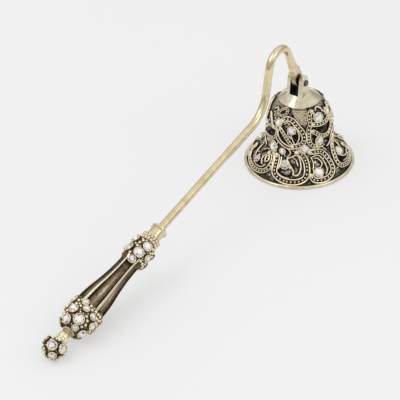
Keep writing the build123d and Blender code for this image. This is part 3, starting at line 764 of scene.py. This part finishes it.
def stipple_places():
    """(azimuth, height in mm) of the wedge's grains, the same each time."""
    random.seed(SEED)
    for row in range(STIPPLE_ROWS):
        left = STIPPLE_LEFT - row * STIPPLE_LEFT_STEP
        right = STIPPLE_RIGHT + row * STIPPLE_RIGHT_STEP
        count = round((right - left) / STIPPLE_PITCH)
        for column in range(count):
            azimuth = left + (right - left) * column / (count - 1)
            azimuth += random.uniform(-STIPPLE_JITTER, STIPPLE_JITTER)
            height = STIPPLE_FOOT_MM + row * STIPPLE_ROW_MM
            yield azimuth, height + random.uniform(-STIPPLE_JITTER_MM, STIPPLE_JITTER_MM)


def make_scrollwork():
    """The skirt's and the crown's castings, front and back."""
    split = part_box("crown_scrolls")[0].z / MM
    heaps = {"skirt_scrolls": Heap(), "crown_scrolls": Heap()}

    def heap_for(points):
        """The casting that a line belongs to, by its middle height."""
        middle = sum(height for _, height in points) / len(points)
        return heaps["crown_scrolls" if middle > split else "skirt_scrolls"]

    for turn in (0, 180):
        for width, points in WIDE_BANDS:
            band(heap_for(points), points, width, turn)
        for width, points in CORDS:
            raised_line(heap_for(points), points, width, turn, CORD_SECTION)
        for azimuth, height, radius in GRAINS:
            place, normal = on_wall(azimuth + turn, height * MM, GRAIN_LIFT_MM * MM)
            heap_for([(azimuth, height)]).bead(place, normal, radius * MM)
        for azimuth, height in stipple_places():
            place, normal = on_wall(azimuth + turn, height * MM, STIPPLE_LIFT_MM * MM)
            radius = STIPPLE_RADIUS_MM * MM
            heap_for([(azimuth, height)]).bead(place, normal, radius, STIPPLE_WEAR, SMALL_BEAD_SIDES)
    for name, heap in heaps.items():
        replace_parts(heap.build(name + "_cast", gold, "bell", "scroll_gold"), name)


# Stones and their cups

WELD_MM = 0.002
ALONGSIDE = 0.999


def solids_of(node):
    """The separate solids of a CAD node, each as a list of (face normal, face area, points)."""
    welded = bmesh.new()
    welded.from_mesh(nodes[node].data)
    bmesh.ops.remove_doubles(welded, verts=welded.verts, dist=WELD_MM * MM)
    left = set(welded.faces)
    groups = []
    while left:
        group, front = set(), [left.pop()]
        while front:
            face = front.pop()
            group.add(face)
            for edge in face.edges:
                for near in edge.link_faces:
                    if near in left:
                        left.discard(near)
                        front.append(near)
        groups.append([
            (face.normal.copy(), face.calc_area(), [corner.co.copy() for corner in face.verts])
            for face in group
        ])
    welded.free()
    return groups


def stones_of(node):
    """(middle of the back, outward direction, radius) of every stone in a CAD node."""
    stones = []
    for solid in solids_of(node):
        sizes = {}
        for normal, area, _ in solid:
            key = tuple(round(value, 2) for value in normal)
            sizes[key] = sizes.get(key, 0) + area
        inward = Vector(max(sizes, key=sizes.get)).normalized()
        back = [point for normal, _, points in solid if normal.dot(inward) > ALONGSIDE for point in points]
        low = Vector(map(min, zip(*back)))
        high = Vector(map(max, zip(*back)))
        middle = (low + high) / 2
        stones.append((middle, -inward, max((point - middle).length for point in back)))
    return sorted(stones, key=lambda stone: tuple(round(value, 5) for value in stone[0]))


# Painted reflections of the facets: white, greys and near black, and a faintly lilac and a warm one
FACET_REFLECTIONS_AND_TINTS = (
    (0.98, 0.96, 0.94),
    (0.84, 0.81, 0.80),
    (0.62, 0.59, 0.58),
    (0.72, 0.65, 0.70),
    (0.36, 0.34, 0.34),
    (0.86, 0.77, 0.68),
    (0.10, 0.09, 0.09),
)
# How often each painted reflection comes up on each kind of facet
TABLE, STAR, KITE, BREAK, GIRDLE = range(5)
REFLECTION_AND_TINT_WEIGHTS = (
    (3, 5, 1, 2, 0, 1, 0),
    (5, 2, 2, 1, 2, 1, 0),
    (5, 2, 2, 1, 3, 1, 1),
    (3, 2, 2, 1, 4, 1, 3),
    (0, 1, 2, 0, 3, 0, 4),
)
STONE_SIDES = 8
TABLE_SHARE = 0.5
STAR_SHARE = 0.76
STAR_HEIGHT_SHARE = 0.62
CROWN_SHARE = 0.42
GIRDLE_MM = 0.3


def add_stone(points, faces, reflections_and_tints, stone, draw):
    """One brilliant-cut crystal: table, star facets, kites, break facets and girdle."""
    middle, out, radius = stone
    side, other = square_to(out)
    girdle_height, crown = GIRDLE_MM * MM, radius * CROWN_SHARE
    around = 2 * STONE_SIDES
    table = len(points)
    star, girdle, foot = table + STONE_SIDES, table + around, table + 2 * around
    top = middle + out * (girdle_height + crown)
    shoulder = middle + out * (girdle_height + crown * STAR_HEIGHT_SHARE)
    points += ring(top, side, other, radius * TABLE_SHARE, STONE_SIDES)
    points += ring(shoulder, side, other, radius * STAR_SHARE, STONE_SIDES, 0.5)
    points += ring(middle + out * girdle_height, side, other, radius, around)
    points += ring(middle, side, other, radius, around)
    made = [(list(range(table, star)), TABLE)]
    for step in range(STONE_SIDES):
        after, before = (step + 1) % STONE_SIDES, (step - 1) % STONE_SIDES
        corner, half, next_corner = 2 * step, 2 * step + 1, (2 * step + 2) % around
        made += [
            ([table + step, star + step, table + after], STAR),
            ([table + step, star + before, girdle + corner, star + step], KITE),
            ([star + step, girdle + corner, girdle + half], BREAK),
            ([star + step, girdle + half, girdle + next_corner], BREAK),
        ]
    for step in range(around):
        after = (step + 1) % around
        made.append(([girdle + step, foot + step, foot + after, girdle + after], GIRDLE))
    made.append(([foot + step for step in reversed(range(around))], GIRDLE))
    for face, kind in made:
        faces.append(face)
        reflections_and_tints.append(draw.choices(FACET_REFLECTIONS_AND_TINTS, REFLECTION_AND_TINT_WEIGHTS[kind])[0])


# Cross-section of a round cup: growth over the stone's radius, height and wear
CUP_SECTION = (
    (0.42, -1.1, 0.2),
    (0.42, 0.1, 0.35),
    (0.36, 0.36, 0.8),
    (0.22, 0.5, 1.0),
    (0.04, 0.46, 0.9),
    (0.0, 0.3, 0.3),
    (0.0, -0.05, 0.05),
)
CUP_WALL_MM = 0.42
CUP_SIDES = 20
CLAWS = 6
CLAW_MM = 0.24
BALL_CLAW_MM = 0.4
CLAW_OUT_MM = 0.12
CLAW_RISE_MM = 0.48


def add_cup(heap, stone, claw_mm):
    """A round cup with small claws, which are left out where they would reach into the table."""
    middle, out, radius = stone
    side, other = square_to(out)
    rows = [
        ring(middle + out * height * MM, side, other, radius + grown * MM, CUP_SIDES)
        for grown, height, _ in CUP_SECTION
    ]
    heap.grid(rows, [[wear_and_painted_light] * CUP_SIDES for _, _, wear_and_painted_light in CUP_SECTION])
    claw_centre = middle + out * CLAW_RISE_MM * MM
    for place in ring(claw_centre, side, other, radius + CLAW_OUT_MM * MM, CLAWS, 0.5):
        if place.z > cad_box[0].z + claw_mm * MM:
            heap.bead(place, out, claw_mm * MM, sides=SMALL_BEAD_SIDES)


def dress_stones(cup_node, crystal_nodes, body, claw_mm=CLAW_MM):
    """Round cups and cut stones in place of the CAD cups and crystals."""
    cups = Heap()
    for node in crystal_nodes:
        points, faces, reflections_and_tints = [], [], []
        draw = random.Random(SEED + len(node))
        for stone in stones_of(node):
            add_stone(points, faces, reflections_and_tints, stone, draw)
            add_cup(cups, stone, claw_mm)
        mesh = bpy.data.meshes.new(node + "_cut")
        mesh.from_pydata([tuple(point) for point in points], [], faces)
        layer = mesh.color_attributes.new("facet", "FLOAT_COLOR", "CORNER")
        for polygon, reflection_and_tint in zip(mesh.polygons, reflections_and_tints):
            for corner in polygon.loop_indices:
                layer.data[corner].color = (*reflection_and_tint, 1)
        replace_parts(add_piece(node + "_cut", mesh, crystal, body), node)
    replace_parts(cups.build(cup_node + "_round", gold, body, "cup_gold"), cup_node)


# Stained skin of the bell, with painted shade beside its raised work

WALL_SIDES = 240
WALL_STEP_MM = 0.42
WALL_LIFT_MM = 0.03
WALL_START_MM = 0.1
# Painted shade on the wall beside the castings and the cups fades out over this reach
SHADE_REACH_MM = 1.5
SHADE_EDGE_MM = 0.1
WIDEST_HALF_MM = 3
# The wall is darker inside the pocket outlines and below the foot height: shares of its brightness there
POCKET_BRIGHTNESS_SHARE = 0.1
FOOT_MM = 3
FOOT_BRIGHTNESS_SHARE = 0.5


def wall_heights():
    """Heights up the bell's wall at even steps along it, from above the rim wire to the cap."""
    low, high = wire_high.z + WALL_START_MM * MM, profile[-1][1]
    step_length = WALL_STEP_MM * MM
    found = [low]
    for (radius_a, height_a), (radius_b, height_b) in zip(profile, profile[1:]):
        count = max(1, round(math.hypot(radius_b - radius_a, height_b - height_a) / step_length))
        for step in range(1, count + 1):
            height = height_a + (height_b - height_a) * step / count
            if low + step_length < height <= high:
                found.append(height)
    return found


def within(azimuth, height, outline):
    """Whether a place on the wall lies inside a closed outline."""
    crossed = False
    for (azimuth_a, height_a), (azimuth_b, height_b) in zip(outline, outline[1:] + outline[:1]):
        if (height_a > height) != (height_b > height):
            share = (height - height_a) / (height_b - height_a)
            crossed ^= azimuth < azimuth_a + (azimuth_b - azimuth_a) * share
    return crossed


def make_wall():
    """A fine skin on the bell's wall, with painted shade beside the castings and the cups, and darker in the
    pockets and near the foot.
    """
    lines = list(traced)
    for node in ("bell_large_crystals", "bell_small_crystals"):
        lines += [(middle, radius + CUP_WALL_MM * MM) for middle, _, radius in stones_of(node)]
    near = KDTree(len(lines))
    for index, (place, _) in enumerate(lines):
        near.insert(place, index)
    near.balance()
    search_reach = (SHADE_REACH_MM + WIDEST_HALF_MM) * MM

    def painted_shade_at(place, azimuth, height):
        """The wall's brightness: painted shade from 0 beside what is drawn on it up to 1 at the reach of the
        shade, lowered inside the pockets and near the foot.
        """
        gaps = [distance - lines[index][1] for _, index, distance in near.find_range(place, search_reach)]
        gap_mm = min(gaps, default=SHADE_REACH_MM * MM) / MM
        value = min(1, max(0, (gap_mm - SHADE_EDGE_MM) / (SHADE_REACH_MM - SHADE_EDGE_MM)))
        folded = azimuth if azimuth <= 90 else azimuth - 180
        if any(within(folded, height / MM, outline) for outline in POCKETS):
            value *= POCKET_BRIGHTNESS_SHARE
        if height < FOOT_MM * MM:
            value *= FOOT_BRIGHTNESS_SHARE
        return value

    outer, inner, wear_and_painted_light_rows = [], [], []
    for height in wall_heights():
        row, under, shaded_row = [], [], []
        for side in range(WALL_SIDES):
            azimuth = 360 * side / WALL_SIDES - 90
            place, normal = on_wall(azimuth, height, 0)
            row.append(place + normal * WALL_LIFT_MM * MM)
            under.append(place - normal * 2 * WALL_LIFT_MM * MM)
            shaded_row.append(painted_shade_at(place, azimuth, height))
        outer.append(row)
        inner.append(under)
        wear_and_painted_light_rows.append(shaded_row)
    heap = Heap()
    rows = outer + inner[::-1]
    heap.grid(rows + rows[:1], wear_and_painted_light_rows + wear_and_painted_light_rows[::-1] + wear_and_painted_light_rows[:1], end_caps=False)
    heap.build("wall_stain_and_shade", wall_metal, "bell", "shell_patina")


# Handle

REACH_MM = 12
SKIN_INSET_MM = 0.004
GRIP_SIDES = 180
TURNED_SIDES = 64


def tree_over(name):
    """A search tree over the faces of a CAD node, to find its outer skin."""
    data = nodes[name].data
    points = [vertex.co.copy() for vertex in data.vertices]
    return BVHTree.FromPolygons(points, [list(polygon.vertices) for polygon in data.polygons])


def across_at(turn):
    """The direction square to the handle's axis at degrees from its top towards the front."""
    angle = math.radians(turn)
    return handle_top * math.cos(angle) + handle_side * math.sin(angle)


def skin_at(tree, station, turn):
    """(point, normal) where a line from outside meets the handle at a station and a turn."""
    across, reach = across_at(turn), REACH_MM * MM
    start = ball_centre + handle_axis * station
    place, normal, _, _ = tree.ray_cast(start + across * reach, -across, reach)
    return place, normal


def reach_of(place):
    """How far a point lies from the handle's axis."""
    away = place - ball_centre
    return (away - handle_axis * away.dot(handle_axis)).length


def station_span(name):
    """The first and the last station of a CAD node along the handle's axis."""
    along = [(vertex.co - ball_centre).dot(handle_axis) for vertex in nodes[name].data.vertices]
    return min(along), max(along)


def skin(name, sides, step_mm, wear_and_light_of):
    """A fine skin over a CAD node of the handle, with values for rubbing and painted light from a rule of
    station and turn.
    """
    heap, tree = Heap(), tree_over(name)
    start, end = station_span(name)
    count = max(2, round((end - start) / (step_mm * MM)))
    inset = SKIN_INSET_MM * MM
    turns = [360 * side / sides for side in range(sides)]
    rows, wear_and_painted_light_rows = [], []
    for row in range(count + 1):
        station = start + inset + (end - start - 2 * inset) * row / count
        rows.append([skin_at(tree, station, turn)[0] for turn in turns])
        wear_and_painted_light_rows.append([wear_and_light_of(station, turn) for turn in turns])
    heap.grid(rows, wear_and_painted_light_rows)
    return heap, tree


RIDGES = 6
FLUTE_DEPTH_MM = 0.15
FLUTE_STEP_MM = 0.5


def flutes_of(name):
    """The span of stations over which a CAD node is fluted."""
    tree = tree_over(name)
    start, end = station_span(name)
    fluted = []
    station = start + MM
    while station < end - MM:
        ridge, hollow = (reach_of(skin_at(tree, station, turn)[0]) for turn in (0, 180 / RIDGES))
        if ridge - hollow > FLUTE_DEPTH_MM * MM:
            fluted.append(station)
        station += FLUTE_STEP_MM * MM
    return min(fluted), max(fluted)


flute_span = flutes_of("grip")

RIDGE_HALF_DEGREES = 4.2
FLANK_HALF_DEGREES = 10.0
FLUTE_RUNOUT_MM = 2.2
PLAIN_WEAR = 0.34
# Darker lines beside each ridge
FLANK_TONE = 0.06
FLUTE_WEAR = 0.32
# A painted highlight down the middle of each flute, strongest at a share of the fluted length near the bulb
FLUTE_HIGHLIGHT_RISE = 0.06
GOLDEN_HIGHLIGHT_RISE = 0.3
HIGHLIGHT_PLACE_SHARE = 0.3
HIGHLIGHT_REACH_SHARE = 0.45
FLUTE_FALLOFF = 1.5


def grip_wear_and_highlight(station, turn):
    """Bright ridges between darker lines, and flutes rubbed brown with a painted highlight down their
    middles, strongest near the bulb.
    """
    if not flute_span[0] - FLUTE_RUNOUT_MM * MM < station < flute_span[1] + FLUTE_RUNOUT_MM * MM:
        return PLAIN_WEAR
    half_pitch = 180 / RIDGES
    from_ridge = abs((turn + half_pitch) % (2 * half_pitch) - half_pitch)
    if from_ridge < RIDGE_HALF_DEGREES:
        return 1.0
    if from_ridge < FLANK_HALF_DEGREES:
        return FLANK_TONE
    middle = (from_ridge - FLANK_HALF_DEGREES) / (half_pitch - FLANK_HALF_DEGREES)
    along = (station - flute_span[0]) / (flute_span[1] - flute_span[0])
    highlight = max(0, 1 - abs(along - HIGHLIGHT_PLACE_SHARE) / HIGHLIGHT_REACH_SHARE)
    return FLUTE_WEAR + (FLUTE_HIGHLIGHT_RISE + GOLDEN_HIGHLIGHT_RISE * highlight) * middle ** FLUTE_FALLOFF


def ball_wear(station, _):
    """The ball is darker than its stem."""
    return 0.5 if station < ball_radius else 0.8


SPOOL_RIM_MM = 0.6
spool_span = station_span("neck_spool")


def spool_wear(station, _):
    """The spool's two rims are brighter than its waist."""
    rim = SPOOL_RIM_MM * MM
    return 0.55 if spool_span[0] + rim <= station <= spool_span[1] - rim else 0.95


GRAIN_SIZES_MM = (0.8, 0.56, 0.4)
BALL_GRAIN_SIZES_MM = (0.6, 0.42, 0.3)
GRAIN_TURN = 4
GRAIN_STEP_MM = 0.25
GRAIN_SUNK_SHARE = 0.3
GRAIN_WEAR = 0.95
WIDEST_SEAT_MM = 0.6


def grain_places(tree, span, radius, taken):
    """Places for grains of one radius that keep clear of stones and of one another."""
    found = []
    step = GRAIN_STEP_MM * MM
    rows = max(1, int((span[1] - span[0]) / step))
    for row in range(rows + 1):
        for column in range(360 // GRAIN_TURN):
            place, normal = skin_at(tree, span[0] + step * row, (column + row / 2) * GRAIN_TURN)
            if place is None or place.z < cad_box[0].z + radius:
                continue
            if all((place - other).length > radius + size for other, size in taken):
                taken.append((place, radius))
                found.append((place, normal))
    return found


def grains_between(heap, tree, spans, crystal_nodes, sizes_mm):
    """Gold grains packed between the stones over spans of the handle, the largest first."""
    taken = []
    for node in crystal_nodes:
        for middle, out, radius in stones_of(node):
            taken.append((middle - out * WIDEST_SEAT_MM * MM, radius + CUP_WALL_MM * MM))
    for size in sizes_mm:
        for span in spans:
            for place, normal in grain_places(tree, span, size * MM, taken):
                heap.bead(place - normal * size * GRAIN_SUNK_SHARE * MM, normal, size * MM, GRAIN_WEAR)


BALL_GRAIN_START_MM = 0.3


def make_handle():
    """The fluted grip, the ball and the spool, with gold grains among the stones."""
    heap, tree = skin("grip", GRIP_SIDES, 0.4, grip_wear_and_highlight)
    start, end = station_span("grip")
    runout = FLUTE_RUNOUT_MM * MM
    spans = ((start + MM, flute_span[0] - runout), (flute_span[1] + runout, end - MM))
    grains_between(heap, tree, spans, ("bulb_crystals", "barrel_crystals"), GRAIN_SIZES_MM)
    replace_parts(heap.build("grip_fluted", grip_metal, "handle", "grip_gold"), "grip")

    heap, tree = skin("finial", TURNED_SIDES, 0.2, ball_wear)
    spans = ((station_span("finial")[0] + BALL_GRAIN_START_MM * MM, ball_radius),)
    grains_between(heap, tree, spans, ("finial_crystals",), BALL_GRAIN_SIZES_MM)
    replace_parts(heap.build("finial_ball", grip_metal, "handle", "grip_gold"), "finial")

    heap, _ = skin("neck_spool", TURNED_SIDES, 0.1, spool_wear)
    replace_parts(heap.build("neck_spool_turned", grip_metal, "handle", "grip_gold"), "neck_spool")


# The collar's cross-section under its beads: share of the length, and lift in beads
COLLAR_SECTION = (
    (0.0, 0.3),
    (0.04, 0.75),
    (0.1, 0.3),
    (0.46, 0.3),
    (0.5, 0.7),
    (0.54, 0.3),
    (0.9, 0.3),
    (0.96, 0.75),
    (1.0, 0.3),
)
COLLAR_BEADS = 18
COLLAR_ROW_SHARES = (0.27, 0.73)
COLLAR_FLOOR_LIFT = 0.3
COLLAR_BEAD_SHARE = 0.9


def make_collar():
    """Two staggered rows of round beads between three fine rings."""
    start, end = station_span("beaded_collar")
    tree = tree_over("beaded_collar")
    long = end - start
    bead = long / 4
    widest = max(reach_of(skin_at(tree, (start + end) / 2, turn)[0]) for turn in range(0, 360, 3))
    core = widest - COLLAR_BEAD_SHARE * bead
    heap = Heap()
    rows, wear_and_painted_light_rows = [], []
    for share, lift in COLLAR_SECTION:
        centre = ball_centre + handle_axis * (start + long * share)
        rows.append(ring(centre, handle_top, handle_side, core + lift * bead, TURNED_SIDES))
        wear_and_painted_light_rows.append([1.0 if lift > COLLAR_FLOOR_LIFT else 0.3] * TURNED_SIDES)
    heap.grid(rows, wear_and_painted_light_rows)
    for row, share in enumerate(COLLAR_ROW_SHARES):
        centre = ball_centre + handle_axis * (start + long * share)
        for index in range(COLLAR_BEADS):
            across = across_at(360 * (index + row / 2) / COLLAR_BEADS)
            heap.bead(centre + across * core, across, bead * COLLAR_BEAD_SHARE)
    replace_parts(heap.build("collar_beads", gold, "handle", "grip_gold"), "beaded_collar")


# Camera, at the photograph's angle: its place is measured from the middle of the bell's mouth
CAMERA_FROM_BELL_MM = Vector((-509.95, -338.24, 400.32))
CAMERA_HEADING = math.radians(37.85)
CAMERA_PITCH = 0.60377
CAMERA_ROLL = 0.0349066
LENS_MM = 144.0
SENSOR_MM = 36.0


def make_camera():
    """The camera, turned by its heading, its pitch and its roll in that order."""
    data = bpy.data.cameras.new("camera")
    data.sensor_width = SENSOR_MM
    data.lens = LENS_MM
    data.clip_start, data.clip_end = 0.01, 10.0
    camera = add_object("camera", data)
    bpy.context.scene.camera = camera
    heading = Vector((math.cos(CAMERA_HEADING), math.sin(CAMERA_HEADING), 0))
    level_right = Vector((heading.y, -heading.x, 0))
    forward = heading * math.cos(CAMERA_PITCH) - Vector((0, 0, 1)) * math.sin(CAMERA_PITCH)
    level_down = forward.cross(level_right)
    right = level_right * math.cos(CAMERA_ROLL) + level_down * math.sin(CAMERA_ROLL)
    down = level_down * math.cos(CAMERA_ROLL) - level_right * math.sin(CAMERA_ROLL)
    turn = Matrix((right, -down, -forward)).transposed()
    camera.matrix_world = Matrix.Translation(bell_axis + CAMERA_FROM_BELL_MM * MM) @ turn.to_4x4()


# Studio, in metres
FLOOR_HALF = 3.0
FLOOR_GLOW = 0.435
PAPER = ((0.3, (0.435, 0.435, 0.44)), (0.7, (0.45, 0.45, 0.452)))
# Brightness of the studio round the object by the height that a ray climbs to
SKY = ((0.0, (0.36, 0.35, 0.34)), (0.3, (0.62, 0.62, 0.62)), (0.66, (0.93, 0.93, 0.93)))
LIT_PLACE = Vector((0, 0, 0.02))


def make_floor():
    """A wide pale light table with a faint unevenness: its own glow keeps the shadows soft."""
    mesh = bpy.data.meshes.new("floor")
    corners = [(FLOOR_HALF * x, FLOOR_HALF * y, 0) for x, y in ((-1, -1), (1, -1), (1, 1), (-1, 1))]
    mesh.from_pydata(corners, [], [(0, 1, 2, 3)])
    floor = add_object("floor", mesh)
    floor.location.z = cad_box[0].z
    material, tree, shader = tree_of("floor_paper", {
        "Roughness": 0.9,
        "Specular IOR Level": 0.1,
        "Emission Color": (1, 1, 1, 1),
        "Emission Strength": FLOOR_GLOW,
    })
    colour_by(tree, shader, noise(tree, scale=4.0, detail=2.0), "Fac", PAPER)
    mesh.materials.append(material)


def area_light(name, place, size, power):
    """A soft rectangular lamp that faces the object."""
    data = bpy.data.lights.new(name, "AREA")
    data.shape = "RECTANGLE"
    data.size, data.size_y = size
    data.energy = power
    light = add_object(name, data)
    light.location = place
    light.rotation_mode = "QUATERNION"
    light.rotation_quaternion = (LIT_PLACE - place).to_track_quat("-Z", "Y")


def make_lights():
    """Two large lamps and a studio that is brighter overhead."""
    area_light("key", Vector((-0.5, 0.3, 1.0)), size=(0.55, 0.55), power=1.9)
    area_light("fill", Vector((0.1, -1.0, 0.8)), size=(0.7, 0.5), power=1.2)
    world = bpy.data.worlds.new("studio")
    bpy.context.scene.world = world
    world.use_nodes = True
    tree = world.node_tree
    background = tree.nodes["Background"]
    set_inputs(background, {"Strength": 1.0})
    link(tree, ramp(tree, split_place(tree, "Generated"), "Z", SKY), "Color", background, "Color")


make_scrollwork()
dress_stones("bell_cups", ("bell_large_crystals", "bell_small_crystals"), "bell")
dress_stones("bulb_cups", ("bulb_crystals",), "handle")
dress_stones("barrel_cups", ("barrel_crystals",), "handle")
dress_stones("finial_cups", ("finial_crystals",), "handle", BALL_CLAW_MM)
make_handle()
make_collar()
make_wall()
make_camera()
make_floor()
make_lights()
bpy.context.scene.view_settings.view_transform = "Standard"
